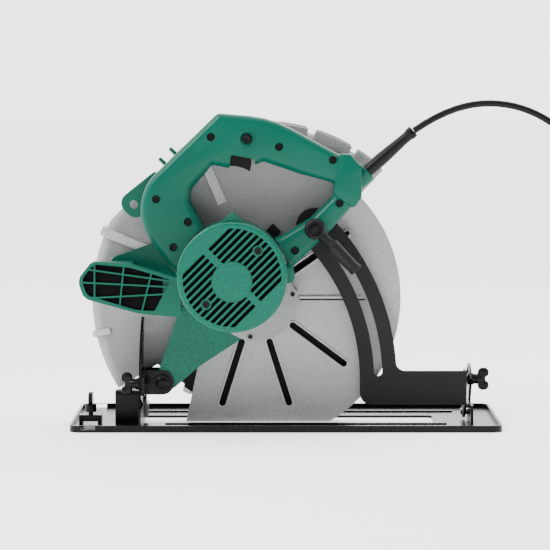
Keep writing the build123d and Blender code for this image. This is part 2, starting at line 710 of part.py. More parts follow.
# ---------------------------------------------------------------- pivot arm
with BuildPart() as pivot_arm:
    with BuildSketch(layer(-45.2)):
        outline(
            (-130, 150, 0), (-160.5, 62, 10), (-152, 44, 9), (-138, 50, 9), (-105, 78, 20),
            (-36, 123, 0), (-60, 160, 0)
        )
        disc(MOTOR, MOTOR_R, mode=Mode.SUBTRACT)
        disc(ARBOR, 50, mode=Mode.SUBTRACT)
        for place in CASE_SCREWS:
            disc(place, 7.5, mode=Mode.SUBTRACT)
        disc(PIVOT, 4.06, mode=Mode.SUBTRACT)
    extrude(amount=32.8)
save(pivot_arm, "pivot_arm")

# ---------------------------------------------------------------- exhaust duct
GRILLE_NEAR = -125.0
GRILLE_CORNERS = (
    (-254, 187, 16), (-236, 210, 14), (-190, 206, 60), (-128, 188, 6), (-128, 141, 6),
    (-180, 146, 60), (-246, 164, 14)
)
with BuildPart() as exhaust_duct:
    with BuildSketch(layer(-96.5)):
        outline(*GRILLE_CORNERS)
        disc(MOTOR, MOTOR_R, mode=Mode.SUBTRACT)
    extrude(amount=24.5)
    # The duct's back wall stays closed behind the grille.
    with BuildSketch(layer(-99.5)):
        outline(
            (-249, 187, 12), (-234, 206, 11), (-190, 202, 50), (-150, 192, 3), (-150, 147, 3),
            (-182, 150, 40),
            (-242, 168, 10)
        )
    extrude(amount=25, mode=Mode.SUBTRACT)
    with BuildSketch(layer(-49.6)):
        outline((-222, 196, 4), (-214, 210, 8), (-164, 228, 12),
                (-126, 231, 4), (-112, 160, 4), (-150, 150, 4))
        disc(MOTOR, MOTOR_R, mode=Mode.SUBTRACT)
    extrude(amount=-16.5)
    with BuildSketch(layer(-49.6)):
        outline((-222, 196, 4), (-214, 206, 5), (-186, 206, 5), (-186, 160, 4), (-206, 166, 4))
    extrude(amount=47)
save(exhaust_duct, "exhaust_duct")

with BuildPart() as grille:
    with BuildSketch(layer(GRILLE_NEAR + 4)):
        outline(*GRILLE_CORNERS)
        disc(MOTOR, MOTOR_R, mode=Mode.SUBTRACT)
    extrude(amount=4)
    with BuildSketch(layer(GRILLE_NEAR + 5)):
        outline(
            (-249, 187, 12), (-234, 206, 11), (-190, 202, 50), (-140, 187, 3), (-160, 149, 3),
            (-182, 150, 40),
            (-242, 168, 10)
        )
        for bar_z, bar_angle in ((193, -8), (181, -3), (167, 3)):
            with Locations(Location((-195, bar_z), bar_angle)):
                Rectangle(140, 2, mode=Mode.SUBTRACT)
        for bar_x, bar_angle in ((-233, 90), (-200, 84), (-168, 76)):
            with Locations(Location((bar_x, 178), bar_angle)):
                Rectangle(80, 2, mode=Mode.SUBTRACT)
    extrude(amount=6, mode=Mode.SUBTRACT)
save(grille, "exhaust_grille")

# ---------------------------------------------------------------- handle
HANDLE_NEAR, HANDLE_SPLIT, HANDLE_FAR = -95.0, -72.0, -50.0
HANDLE_SCREWS = (
    (-92, 360), (-159, 284), (-120, 256), (-138, 225), (-8.5, 348), (57.5, 332), (65.5, 279), (11, 221)
)
BUTTON = (-48.0, 358.0)
OUTLET_DIR = atan2(48, 55)
OUTLET_TIP = (100.5, 317.7)
TRIGGER_PIVOT = (-66.0, 343.0)


def handle_outline():
    """Closed D-shaped loop of the handle, cut round the motor."""
    outline(
        (-84, 389, 6), (-18, 383.5, 130), (68, 337, 5), (79, 337, 5), (92, 322, 6), (92, 287, 12),
        (54.5, 245, 20),
        (-8, 184, 0), (-64, 180, 0), (-118, 166, 0), (-198, 278, 62),
    )
    with BuildLine() as loop:
        FilletPolyline(
            (60, 303.5), (18, 314.5), (-28, 330), (-38, 326), (-73, 322), (-90, 326), (-122, 289), (-96, 244),
            (-64, 225), (-8, 237), (30, 260), (58, 288),
            radius=[8, 60, 5, 4, 4, 6, 22, 0, 0, 10, 25, 10],
            close=True,
        )
    make_face(loop.line.edges(), mode=Mode.SUBTRACT)
    disc(MOTOR, MOTOR_R + 0.3, mode=Mode.SUBTRACT)


def handle_shell(far, near, cavity_far, cavity_near, head_side):
    """One moulded half, with the switch chamber and the screw holes."""
    outlet = Plane(origin=(70, HANDLE_SPLIT, 291),
                   z_dir=(cos(OUTLET_DIR), 0, sin(OUTLET_DIR)), x_dir=(0, 1, 0))
    with BuildPart() as shell:
        with BuildSketch(layer(far)):
            handle_outline()
        extrude(amount=far - near)
        with BuildSketch(outlet):
            Circle(13.6)
        extrude(amount=hypot(OUTLET_TIP[0] - 70, OUTLET_TIP[1] - 291))
        with BuildSketch(layer(cavity_far)):
            outline((-82, 379, 3), (-24, 375, 3), (-24, 334, 2),
                    (-42, 330.5, 2), (-73, 326, 2), (-82, 331, 2))
        extrude(amount=cavity_far - cavity_near, mode=Mode.SUBTRACT)
        with BuildSketch(layer(HANDLE_SPLIT + 12.6)):
            with Locations((-55.5, 325)):
                Rectangle(35, 20)
        extrude(amount=25.2, mode=Mode.SUBTRACT)
        with BuildSketch(layer(HANDLE_FAR + 1)):
            with Locations(*HANDLE_SCREWS):
                Circle(2.05)
            disc(LOCK_BOLT, 5)
        extrude(amount=60, mode=Mode.SUBTRACT)
        with BuildSketch(outlet):
            Circle(8.6)
        extrude(amount=60, mode=Mode.SUBTRACT)
        if head_side:
            with BuildSketch(layer(HANDLE_NEAR + 8)):
                with Locations(*HANDLE_SCREWS):
                    Circle(4.8)
            extrude(amount=10, mode=Mode.SUBTRACT)
            with BuildSketch(layer(HANDLE_NEAR)):
                disc(BUTTON, 10.3)
            extrude(amount=1.6)
            with BuildSketch(layer(HANDLE_NEAR + 10)):
                disc(BUTTON, 5.7)
            extrude(amount=14, mode=Mode.SUBTRACT)
    return shell


shell_near = handle_shell(HANDLE_SPLIT, HANDLE_NEAR, HANDLE_SPLIT + 1, HANDLE_NEAR + 3, True)
shell_far = handle_shell(HANDLE_FAR, HANDLE_SPLIT, HANDLE_FAR - 3, HANDLE_SPLIT - 1, False)
for shell, keep, name in (
    (shell_near, Keep.TOP, "handle_shell_near"),
    (shell_far, Keep.BOTTOM, "handle_shell_far"),
):
    with BuildPart() as half:
        add(shell.part)
        split(bisect_by=layer(HANDLE_SPLIT), keep=keep)
    save(half, name)
screws("handle_screws", HANDLE_SCREWS,
       (HANDLE_NEAR + 8, HANDLE_NEAR + 5, 4.4), (HANDLE_FAR - 6, HANDLE_NEAR + 6, 2.0))

with BuildPart() as hanging_ear:
    with BuildSketch(layer(-52)):
        outline((-210, 279, 13), (-190, 259, 12), (-174, 262, 0), (-154, 306, 0), (-160, 319, 5))
        disc((-188, 276), 5.3, mode=Mode.SUBTRACT)
        with BuildLine():
            FilletPolyline(
                (-84, 389), (-84, 250), (-118, 166), (-198, 278), radius=[6, 0, 0, 62], close=True
            )
        make_face(mode=Mode.SUBTRACT)
    extrude(amount=9)
save(hanging_ear, "hanging_ear")

with BuildPart() as trigger:
    with BuildSketch(layer(HANDLE_SPLIT + 11.5)):
        with BuildLine():
            Polyline((-70, 349), (-70, 324.5))
            ThreePointArc((-70, 324.5), (-57, 323), (-44, 317.5))
            Polyline((-44, 317.5), (-42.4, 328), (-43, 340), (-60, 349), (-70, 349))
        make_face()
        disc(TRIGGER_PIVOT, 2.05, mode=Mode.SUBTRACT)
    extrude(amount=23)
save(trigger, "trigger")
round_stack("trigger_pin", TRIGGER_PIVOT, [(HANDLE_FAR - 3, HANDLE_NEAR + 3, 2.0)])
with BuildPart() as switch_box:
    with BuildSketch(layer(HANDLE_SPLIT + 13)):
        with Locations((-52, 364)):
            Rectangle(50, 20)
    extrude(amount=26)
save(switch_box, "switch_box")
round_stack("lock_off_button", BUTTON, [(-89.3, HANDLE_NEAR - 4.5, 5.6)])

# ---------------------------------------------------------------- depth lock
round_stack("depth_lock_bolt", LOCK_BOLT, [(-37.8, -41.7, 9), (-41.7, -115, 4.0)])
LEVER_FAR, LEVER_NEAR = -97.0, -111.0
GRIP_START, GRIP_END = 24.0, 72.0
with BuildPart() as lever:
    with BuildSketch(layer(LEVER_FAR)):
        disc(LOCK_BOLT, 13)
    extrude(amount=LEVER_FAR - LEVER_NEAR)
    with BuildSketch(layer(LEVER_FAR - 1)):
        with Locations(Location(polar(LOCK_BOLT, 18, -45), -45)):
            Rectangle(20, 13)
    extrude(amount=11)
    start_x, start_z = polar(LOCK_BOLT, GRIP_START, -45)
    with BuildSketch(
        Plane(origin=(start_x, LEVER_FAR - 7.2, start_z),
              z_dir=(cos(radians(45)), 0, -sin(radians(45))), x_dir=(0, 1, 0))
    ):
        Circle(7.0)
    extrude(amount=GRIP_END - GRIP_START)
    with BuildSketch(layer(LEVER_FAR + 1)):
        disc(LOCK_BOLT, 4.05)
    extrude(amount=20, mode=Mode.SUBTRACT)
save(lever, "depth_lock_lever")
ring("lever_cap_nut", LOCK_BOLT, LEVER_NEAR - 0.2, -114.8, 8, 4.05)

SPINDLE_LOCK = (-16.0, 241.0)
with BuildPart() as spindle_lock:
    with BuildSketch(layer(-38)):
        with Locations(Location(SPINDLE_LOCK, 45)):
            RectangleRounded(15, 15, 1.5)
    extrude(amount=11)
save(spindle_lock, "spindle_lock_button")

# ---------------------------------------------------------------- cord
GUARD_END = (157.0, 367.0)
with BuildPart() as cord_guard:
    axis_dir = (cos(OUTLET_DIR), 0, sin(OUTLET_DIR))
    guard_start = (GUARD_END[0] - 88 * cos(OUTLET_DIR), GUARD_END[1] - 88 * sin(OUTLET_DIR))
    guard_plane = Plane(origin=(guard_start[0], HANDLE_SPLIT, guard_start[1]),
                        z_dir=axis_dir, x_dir=(0, 1, 0))
    with BuildSketch(guard_plane):
        Circle(8.5)
    with BuildSketch(guard_plane.offset(82)):
        Circle(6.6)
    loft()
    with BuildSketch(guard_plane.offset(81)):
        Circle(8.2)
    extrude(amount=7)
save(cord_guard, "cord_guard")

CORD_START = Vector(GUARD_END[0] + 0.5, HANDLE_SPLIT, GUARD_END[1] + 0.3)
CORD_ROUTE = (
    CORD_START,
    Vector(196, -72, 394),
    Vector(256, -72, 409),
    Vector(330, -71, 383),
    Vector(388, -68, 320),
    Vector(420, -65, 238),
    Vector(436, -62, 150),
    Vector(462, -58, 70),
    Vector(498, -54, 17),
    Vector(538, -51, 4.3),
)
cord_radii = []
for before, corner, after in zip(CORD_ROUTE, CORD_ROUTE[1:], CORD_ROUTE[2:]):
    turn = (corner - before).get_angle(after - corner)
    shorter = min((corner - before).length, (after - corner).length)
    cord_radii.append(0.45 * shorter / tan(radians(turn) / 2))
print("cord arc radii", [round(r) for r in cord_radii], "least", 5 * CORD_D)
with BuildPart() as cord_tube:
    with BuildLine() as cord_line:
        FilletPolyline(*CORD_ROUTE, radius=cord_radii)
    with BuildSketch(Plane(origin=CORD_START, z_dir=CORD_ROUTE[1] - CORD_START)):
        Circle(CORD_D / 2)
    sweep()
tube_length = sum(edge.length for edge in cord_line.line.edges())
full_volume = tube_length * pi * CORD_D**2 / 4
print("cord tube", round(tube_length), "volume ratio", cord_tube.part.volume / full_volume)
save(cord_tube, "cord_tube")

# Put-away coil: three layers of three turns, lying on the floor, with the plug on its far side.
COIL_CENTRE, COIL_R_IN, COIL_R_OUT, COIL_H = (548.0, 4.0), 34.0, 61.0, 3 * CORD_D
with BuildPart() as cord_coil:
    with BuildSketch(Plane.XY.offset(0.1)):
        with Locations(COIL_CENTRE):
            Circle(COIL_R_OUT)
            Circle(COIL_R_IN, mode=Mode.SUBTRACT)
    extrude(amount=COIL_H)
    fillet(cord_coil.edges().filter_by(GeomType.CIRCLE), 3.5)
save(cord_coil, "cord_coil")

PLUG_Z, PLUG_Y = COIL_H + 0.2 + 17.0, COIL_CENTRE[1] + 47.5
with BuildPart() as plug_body:
    with BuildSketch(across(510)):
        disc((PLUG_Y, PLUG_Z), 17)
    extrude(amount=34)
    with BuildSketch(across(544)):
        disc((PLUG_Y, PLUG_Z), 13)
    with BuildSketch(across(566)):
        disc((PLUG_Y, PLUG_Z), 5.5)
    loft()
save(plug_body, "plug_body")
with BuildPart() as plug_pins:
    with BuildSketch(across(491)):
        for side in (-9.5, 9.5):
            disc((PLUG_Y + side, PLUG_Z), 2.4)
    extrude(amount=19)
save(plug_pins, "plug_pins")
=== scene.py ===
"""Looks of the corded circular saw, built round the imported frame: +X rear, -Y motor side, +Z up, metres."""
import json
from math import cos, pi, radians, sin, tan

import bmesh
import bpy
from mathutils import Matrix, Vector


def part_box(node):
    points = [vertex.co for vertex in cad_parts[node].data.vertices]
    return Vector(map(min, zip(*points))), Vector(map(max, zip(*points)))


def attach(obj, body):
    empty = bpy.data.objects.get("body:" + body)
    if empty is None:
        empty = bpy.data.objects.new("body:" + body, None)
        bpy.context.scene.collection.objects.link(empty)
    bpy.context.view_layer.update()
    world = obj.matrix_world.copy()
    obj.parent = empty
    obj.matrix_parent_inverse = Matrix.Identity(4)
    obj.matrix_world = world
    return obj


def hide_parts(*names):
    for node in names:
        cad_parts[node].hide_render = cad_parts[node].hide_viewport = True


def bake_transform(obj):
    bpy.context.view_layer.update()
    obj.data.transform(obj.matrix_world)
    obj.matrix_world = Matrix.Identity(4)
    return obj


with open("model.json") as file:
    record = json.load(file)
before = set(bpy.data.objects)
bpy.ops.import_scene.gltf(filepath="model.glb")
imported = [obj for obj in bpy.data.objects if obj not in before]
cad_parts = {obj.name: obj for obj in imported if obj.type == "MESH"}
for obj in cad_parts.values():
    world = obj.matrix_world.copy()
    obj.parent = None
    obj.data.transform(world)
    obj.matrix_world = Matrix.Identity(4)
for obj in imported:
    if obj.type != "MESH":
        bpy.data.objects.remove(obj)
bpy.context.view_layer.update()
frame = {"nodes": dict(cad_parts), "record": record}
nodes = frame["nodes"]

MM = 0.001


def centre(node):
    """Middle of a CAD node's box."""
    low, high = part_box(node)
    return (low + high) / 2


ARBOR = centre("spindle")
MOTOR = centre("motor_bearing_rear")
PIVOT = centre("depth_pivot_bolt")
LOCK = centre("depth_lock_bolt")
HANDLE_NEAR, SPLIT, HANDLE_FAR = -0.095, -0.072, -0.050


# ---------------------------------------------------------------- camera and cord
def make_camera():
    """Eye level a little above the saw, far off, square to its length."""
    data = bpy.data.cameras.new("camera")
    data.sensor_width = 36
    data.lens = 184.1
    camera = bpy.data.objects.new("camera", data)
    camera.location = (-0.0134, -3.537, 0.425)
    camera.rotation_euler = (radians(90 - 3.89), 0, 0)
    bpy.context.scene.collection.objects.link(camera)
    bpy.context.scene.camera = camera


make_camera()

CORD_D = 8.4 * MM
COIL_CENTRE = Vector((548, 4, 0)) * MM
COIL_TURNS, COIL_POINTS = 8, 14
LEAD_OUT_R = 38
# The same route as the CAD tube's.
CORD_ROUTE = [
    Vector(p) * MM
    for p in (
        (157.5, -72, 367.3),
        (196, -72, 394),
        (256, -72, 409),
        (330, -71, 383),
        (388, -68, 320),
        (420, -65, 238),
        (436, -62, 150),
        (462, -58, 70),
        (498, -54, 17),
        (538, -51, 4.3),
    )
]


def coil_points():
    """Turns wound side by side from the outside in, then the next layer from the inside out."""
    points = []
    turns_per_layer = 3
    for step in range(COIL_TURNS * COIL_POINTS + 2):
        turn = step / COIL_POINTS
        layer, column = divmod(turn, turns_per_layer)
        inward = column if layer % 2 == 0 else turns_per_layer - column
        radius = (57.2 - inward * 8.45) * MM
        height = (4.4 + min(layer, 2) * 8.3 + 0.5 * sin(2.3 * turn)) * MM
        if column < 0.25 and layer > 0:
            height -= (0.25 - column) * 4 * 8.3 * MM * 0.5
        if column > 2.75:
            height += (column - 2.75) * 4 * 8.3 * MM * 0.5
        angle = -pi / 2 + 2 * pi * turn + 0.08
        points.append(COIL_CENTRE + Vector((radius * cos(angle), radius * sin(angle), height)))
    return points


def nurbs(name, points, thickness):
    """Open spline through space; thickness 0 gives its bare line."""
    curve = bpy.data.curves.new(name, "CURVE")
    curve.dimensions = "3D"
    spline = curve.splines.new("NURBS")
    spline.points.add(len(points) - 1)
    for target, point in zip(spline.points, points):
        target.co = (*point, 1)
    spline.order_u = 4
    spline.use_endpoint_u = True
    spline.resolution_u = 8
    curve.bevel_depth = thickness / 2
    curve.bevel_resolution = 5
    curve.use_fill_caps = True
    made = bpy.data.objects.new(name, curve)
    bpy.context.scene.collection.objects.link(made)
    return made


def to_mesh(source, name):
    """Turn a curve or a modified object into a plain mesh object and drop the source."""
    bpy.context.view_layer.update()
    graph = bpy.context.evaluated_depsgraph_get()
    mesh = bpy.data.meshes.new_from_object(source.evaluated_get(graph), depsgraph=graph)
    mesh.transform(source.matrix_world)
    bpy.data.objects.remove(source)
    made = bpy.data.objects.new(name, mesh)
    bpy.context.scene.collection.objects.link(made)
    return made


# ---------------------------------------------------------------- materials
def shader(name, colour, roughness, metallic=0.0, coat=0.0):
    """New principled material and its handles."""
    mat = bpy.data.materials.new(name)
    mat.use_nodes = True
    tree = mat.node_tree
    base = tree.nodes["Principled BSDF"]
    base.inputs["Base Color"].default_value = (*colour, 1)
    base.inputs["Roughness"].default_value = roughness
    base.inputs["Metallic"].default_value = metallic
    base.inputs["Coat Weight"].default_value = coat
    base.inputs["Coat Roughness"].default_value = 0.12
    if min(colour) < 0.02:
        base.inputs["Specular IOR Level"].default_value = 0.14
    return mat, tree, base


def place(tree):
    """Coordinates fixed to the object, in metres."""
    return tree.nodes.new("ShaderNodeTexCoord").outputs["Object"]


def noise(tree, coords, scale, detail=3.0, rough=0.55):
    """Fractal noise output."""
    made = tree.nodes.new("ShaderNodeTexNoise")
    made.inputs["Scale"].default_value = scale
    made.inputs["Detail"].default_value = detail
    made.inputs["Roughness"].default_value = rough
    tree.links.new(coords, made.inputs["Vector"])
    return made.outputs["Fac"]


def ramp(tree, source, stops):
    """Colour ramp from (position, colour) stops."""
    made = tree.nodes.new("ShaderNodeValToRGB")
    first, last = made.color_ramp.elements
    first.position, first.color = stops[0][0], (*stops[0][1], 1)
    last.position, last.color = stops[-1][0], (*stops[-1][1], 1)
    for position, colour in stops[1:-1]:
        made.color_ramp.elements.new(position).color = (*colour, 1)
    tree.links.new(source, made.inputs["Fac"])
    return made.outputs["Color"]


def spread(tree, source, low, high):
    """Map a 0.3 to 0.7 signal to low..high."""
    made = tree.nodes.new("ShaderNodeMapRange")
    made.inputs["From Min"].default_value = 0.3
    made.inputs["From Max"].default_value = 0.7
    made.inputs["To Min"].default_value = low
    made.inputs["To Max"].default_value = high
    tree.links.new(source, made.inputs["Value"])
    return made.outputs["Result"]


def bump(tree, base, source, strength, distance, previous=None):
    """Bump from a height signal, stacked on an earlier one."""
    made = tree.nodes.new("ShaderNodeBump")
    made.inputs["Strength"].default_value = strength
    made.inputs["Distance"].default_value = distance
    tree.links.new(source, made.inputs["Height"])
    if previous:
        tree.links.new(previous, made.inputs["Normal"])
    tree.links.new(made.outputs["Normal"], base.inputs["Normal"])
    return made.outputs["Normal"]


def shade(colour, factor):
    """Colour made lighter or darker."""
    return tuple(min(1.0, channel * factor) for channel in colour)


def mottled(name, colour, roughness, metallic=0.0, coat=0.0, *,
            grain=900, depth=0.2, vary=0.12, span=0.08, lift=0.2):
    """General finish: broad colour drift, fine grain in bump and in gloss."""
    mat, tree, base = shader(name, colour, roughness, metallic, coat)
    coords = place(tree)
    broad = noise(tree, coords, 14, 2)
    fine = noise(tree, coords, grain, 4, 0.6)
    stops = [(0.3, shade(colour, 1 - vary)), (0.7, shade(colour, 1 + vary))]
    tree.links.new(ramp(tree, broad, stops), base.inputs["Base Color"])
    tree.links.new(spread(tree, fine, roughness - span, roughness + span), base.inputs["Roughness"])
    bump(tree, base, fine, depth, lift * MM)
    return mat


def cast_aluminium(name, colour, roughness=0.5):
    """Sand-cast and tumbled metal: sparkling grain over soft blotches."""
    mat, tree, base = shader(name, colour, roughness, 0.55)
    coords = place(tree)
    grain = noise(tree, coords, 520, 5, 0.75)
    blotch = noise(tree, coords, 22, 3)
    mix = tree.nodes.new("ShaderNodeMix")
    mix.data_type = "RGBA"
    mix.blend_type = "MULTIPLY"
    mix.inputs["Factor"].default_value = 1.0
    fine_tone = ramp(tree, grain, [(0.3, shade(colour, 0.72)), (0.52, colour), (0.72, shade(colour, 1.35))])
    broad_tone = ramp(tree, blotch, [(0.3, (0.88, 0.88, 0.88)), (0.7, (1, 1, 1))])
    tree.links.new(fine_tone, mix.inputs["A"])
    tree.links.new(broad_tone, mix.inputs["B"])
    tree.links.new(mix.outputs["Result"], base.inputs["Base Color"])
    tree.links.new(spread(tree, grain, roughness - 0.1, roughness + 0.12), base.inputs["Roughness"])
    bump(tree, base, grain, 0.35, 0.25 * MM)
    return mat


def hammered(name, colour):
    """Hammer-finish enamel: small dimples with bright and dark flecks."""
    mat, tree, base = shader(name, colour, 0.34, 0.12, 0.12)
    coords = place(tree)
    cells = tree.nodes.new("ShaderNodeTexVoronoi")
    cells.feature = "SMOOTH_F1"
    cells.inputs["Scale"].default_value = 420
    tree.links.new(coords, cells.inputs["Vector"])
    flecks = noise(tree, coords, 620, 4, 0.7)
    stops = [(0.32, shade(colour, 0.62)), (0.5, colour), (0.68, shade(colour, 1.55))]
    tree.links.new(ramp(tree, flecks, stops), base.inputs["Base Color"])
    tree.links.new(spread(tree, flecks, 0.28, 0.44), base.inputs["Roughness"])
    first = bump(tree, base, cells.outputs["Distance"], 0.45, 0.5 * MM)
    bump(tree, base, flecks, 0.25, 0.2 * MM, first)
    return mat


def brushed(name, colour, roughness):
    """Turned or ground steel with fine rings round the saw's cross axis."""
    mat, tree, base = shader(name, colour, roughness, 1.0)
    coords = place(tree)
    stretch = tree.nodes.new("ShaderNodeMapping")
    stretch.inputs["Scale"].default_value = (1, 14, 1)
    tree.links.new(coords, stretch.inputs["Vector"])
    lines = noise(tree, stretch.outputs["Vector"], 260, 5, 0.7)
    stops = [(0.3, shade(colour, 0.8)), (0.7, shade(colour, 1.15))]
    tree.links.new(ramp(tree, lines, stops), base.inputs["Base Color"])
    tree.links.new(spread(tree, lines, roughness - 0.08, roughness + 0.1), base.inputs["Roughness"])
    bump(tree, base, lines, 0.15, 0.1 * MM)
    return mat


def blade_finish(name, inner, outer):
    """Blade body made near-black, partly as a dark coating and partly as painted shade for the guard's shaded
    inside, with bare ground steel from the gullets outwards.
    """
    mat, tree, base = shader(name, inner, 0.4, 0.3)
    coords = place(tree)
    shift = tree.nodes.new("ShaderNodeVectorMath")
    shift.operation = "SUBTRACT"
    shift.inputs[1].default_value = ARBOR
    flat = tree.nodes.new("ShaderNodeVectorMath")
    flat.operation = "MULTIPLY"
    flat.inputs[1].default_value = (1, 0, 1)
    far = tree.nodes.new("ShaderNodeVectorMath")
    far.operation = "LENGTH"
    tree.links.new(coords, shift.inputs[0])
    tree.links.new(shift.outputs["Vector"], flat.inputs[0])
    tree.links.new(flat.outputs["Vector"], far.inputs[0])
    rim = tree.nodes.new("ShaderNodeMapRange")
    rim.inputs["From Min"].default_value = inner_edge = 0.1455
    rim.inputs["From Max"].default_value = inner_edge + 0.0006
    tree.links.new(far.outputs["Value"], rim.inputs["Value"])
    tree.links.new(ramp(tree, rim.outputs["Result"], [(0, inner), (1, outer)]), base.inputs["Base Color"])
    tree.links.new(rim.outputs["Result"], base.inputs["Metallic"])
    grain = noise(tree, coords, 800, 4, 0.6)
    tree.links.new(spread(tree, grain, 0.32, 0.5), base.inputs["Roughness"])
    bump(tree, base, grain, 0.12, 0.1 * MM)
    return mat


TEAL = (0.0, 0.086, 0.055)
FINISH = {
    "base_black": mottled("base_enamel", (0.004, 0.004, 0.0045), 0.26, grain=260, depth=0.08, span=0.06),
    "black_steel": mottled("black_enamel", (0.0035, 0.0035, 0.004), 0.28, 0.0, 0.0, grain=700, depth=0.12),
    "charcoal": mottled("charcoal_enamel", (0.012, 0.012, 0.013), 0.44, 0.0, 0.0, grain=1100, depth=0.15),
    "cast_grey": cast_aluminium("cast_aluminium", (0.29, 0.29, 0.295)),
    "bright_steel": brushed("ground_steel", (0.55, 0.55, 0.57), 0.3),
    "zinc": brushed("zinc_plate", (0.6, 0.6, 0.6), 0.32),
    "green_hammered": hammered("green_hammer_finish", (0.0, 0.098, 0.062)),
    "green_moulded": mottled("green_moulding", TEAL, 0.32, coat=0.06,
                             grain=1500, depth=0.1, vary=0.06, span=0.05),
    "black_plastic": mottled("black_plastic", (0.004, 0.004, 0.0045), 0.4, 0.0, 0.0, grain=900, depth=0.2),
    "rubber": mottled("cord_rubber", (0.005, 0.005, 0.0055), 0.36, 0.0, 0.0, grain=600, depth=0.15),
    # Copper, brass and laminated steel are set far darker than bare metal: painted shade for the motor's shaded
    # inside.
    "copper": brushed("copper", (0.36, 0.14, 0.06), 0.4),
    "brass": brushed("brass", (0.34, 0.23, 0.09), 0.4),
    "laminated_steel": brushed("laminated_steel", (0.2, 0.2, 0.21), 0.5),
}
# Lighter copy of the cast aluminium for the lower guard: painted light, lifting the part that sits lower in more
# shade.
CAST_PAINTED_LIGHT = cast_aluminium("cast_aluminium_painted_light", (0.42, 0.42, 0.425))
# Still lighter copy of the cast aluminium: painted highlight on the raised ribs and slot beads.
CAST_PAINTED_HIGHLIGHT = cast_aluminium("cast_aluminium_painted_highlight", (0.5, 0.5, 0.51), 0.42)
# Near-black rough finish: painted shade, lining holes and filling recesses and the shaded inside behind slots and
# grilles.
PAINTED_SHADE = mottled("painted_shade_black", (0.002, 0.002, 0.002), 0.9, grain=400)
BLADE = blade_finish("blade_dark_coat_and_shade", (0.008, 0.008, 0.009), (0.6, 0.6, 0.62))


def finish_piece(piece, body, slot_name, *replaced, material=None):
    """Give a built piece its finish, its body and the CAD nodes it stands for."""
    if not piece.data.materials:
        piece.data.materials.append(material or FINISH[slot_name])
    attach(piece, body)
    if replaced:
        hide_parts(*replaced)
    return piece


# ---------------------------------------------------------------- mesh helpers
def smooth(piece, angle=32):
    """Smooth shading that keeps creases sharper than the angle."""
    mesh = piece.data
    mesh.polygons.foreach_set("use_smooth", [True] * len(mesh.polygons))
    mesh.set_sharp_from_angle(angle=radians(angle))
    return piece


def rounded(corners, step=6.0):
    """Closed outline from (x, z, radius) corners in millimetres, with arcs where they have a radius."""
    points = []
    count = len(corners)
    for index, (x, z, radius) in enumerate(corners):
        here = Vector((x, z))
        before = Vector(corners[index - 1][:2])
        after = Vector(corners[(index + 1) % count][:2])
        if radius <= 0:
            points.append(here)
            continue
        to_before, to_after = (before - here).normalized(), (after - here).normalized()
        half = to_before.angle(to_after) / 2
        reach = radius / tan(half)
        hub = here + (to_before + to_after).normalized() * (radius / sin(half))
        first, last = here + to_before * reach - hub, here + to_after * reach - hub
        sweep = pi - 2 * half
        pieces = max(3, int(sweep * 180 / pi / step))
        way = 1 if first.cross(last) > 0 else -1
        for k in range(pieces + 1):
            points.append(hub + Matrix.Rotation(way * sweep * k / pieces, 2) @ first)
    return [p * MM for p in points]


def ring_points(middle, radius, count=72, start=0.0, end=2 * pi):
    """Points round a circle in X and Z, in metres."""
    whole = abs(end - start - 2 * pi) < 1e-6
    steps = count if whole else count - 1
    return [
        Vector((middle[0] + radius * cos(start + (end - start) * k / steps),
                middle[1] + radius * sin(start + (end - start) * k / steps)))
        for k in range(count)
    ]


def signed_area(points):
    return sum(a.cross(b) for a, b in zip(points, points[1:] + points[:1])) / 2


def slab(name, loops, far, near, bevel, segments=3):
    """Plate across the saw from closed loops in X and Z, the outer one first, its edges rounded by bevel."""
    curve = bpy.data.curves.new(name, "CURVE")
    curve.dimensions = "2D"
    curve.fill_mode = "BOTH"
    curve.extrude = (far - near) / 2 - bevel
    curve.bevel_depth = bevel
    curve.bevel_resolution = segments
    curve.offset = -bevel
    for index, points in enumerate(loops):
        wanted = 1 if index == 0 else -1
        if signed_area(points) * wanted < 0:
            points = points[::-1]
        spline = curve.splines.new("POLY")
        spline.points.add(len(points) - 1)
        for target, point in zip(spline.points, points):
            target.co = (point.x, point.y, 0, 1)
        spline.use_cyclic_u = True
    made = bpy.data.objects.new(name, curve)
    bpy.context.scene.collection.objects.link(made)
    made.rotation_euler = (pi / 2, 0, 0)
    made.location = (0, (far + near) / 2, 0)
    return to_mesh(made, name)


def weld(piece, distance=1e-5):
    """Merge doubled points and turn faces outwards."""
    shape = bmesh.new()
    shape.from_mesh(piece.data)
    bmesh.ops.remove_doubles(shape, verts=shape.verts, dist=distance)
    bmesh.ops.recalc_face_normals(shape, faces=shape.faces)
    shape.to_mesh(piece.data)
    shape.free()
    return piece


def lathe(name, profile, origin, axis, segments=48):
    """Turned piece: profile is (distance along axis, radius) in millimetres, from origin."""
    axis = Vector(axis).normalized()
    side = axis.orthogonal().normalized()
    other = axis.cross(side)
    shape = bmesh.new()
    rings = []
    for along, radius in profile:
        middle = Vector(origin) + axis * along * MM
        if radius <= 0:
            rings.append([shape.verts.new(middle)])
            continue
        turns = [2 * pi * k / segments for k in range(segments)]
        ring = [middle + (side * cos(turn) + other * sin(turn)) * radius * MM for turn in turns]
        rings.append([shape.verts.new(point) for point in ring])
    for low, high in zip(rings, rings[1:]):
        for k in range(segments):
            j = (k + 1) % segments
            corners = [low[k % len(low)], low[j % len(low)], high[j % len(high)], high[k % len(high)]]
            unique = list(dict.fromkeys(corners))
            if len(unique) > 2:
                shape.faces.new(unique)
    bmesh.ops.recalc_face_normals(shape, faces=shape.faces)
    mesh = bpy.data.meshes.new(name)
    shape.to_mesh(mesh)
    shape.free()
    made = bpy.data.objects.new(name, mesh)
    bpy.context.scene.collection.objects.link(made)
    return smooth(made)


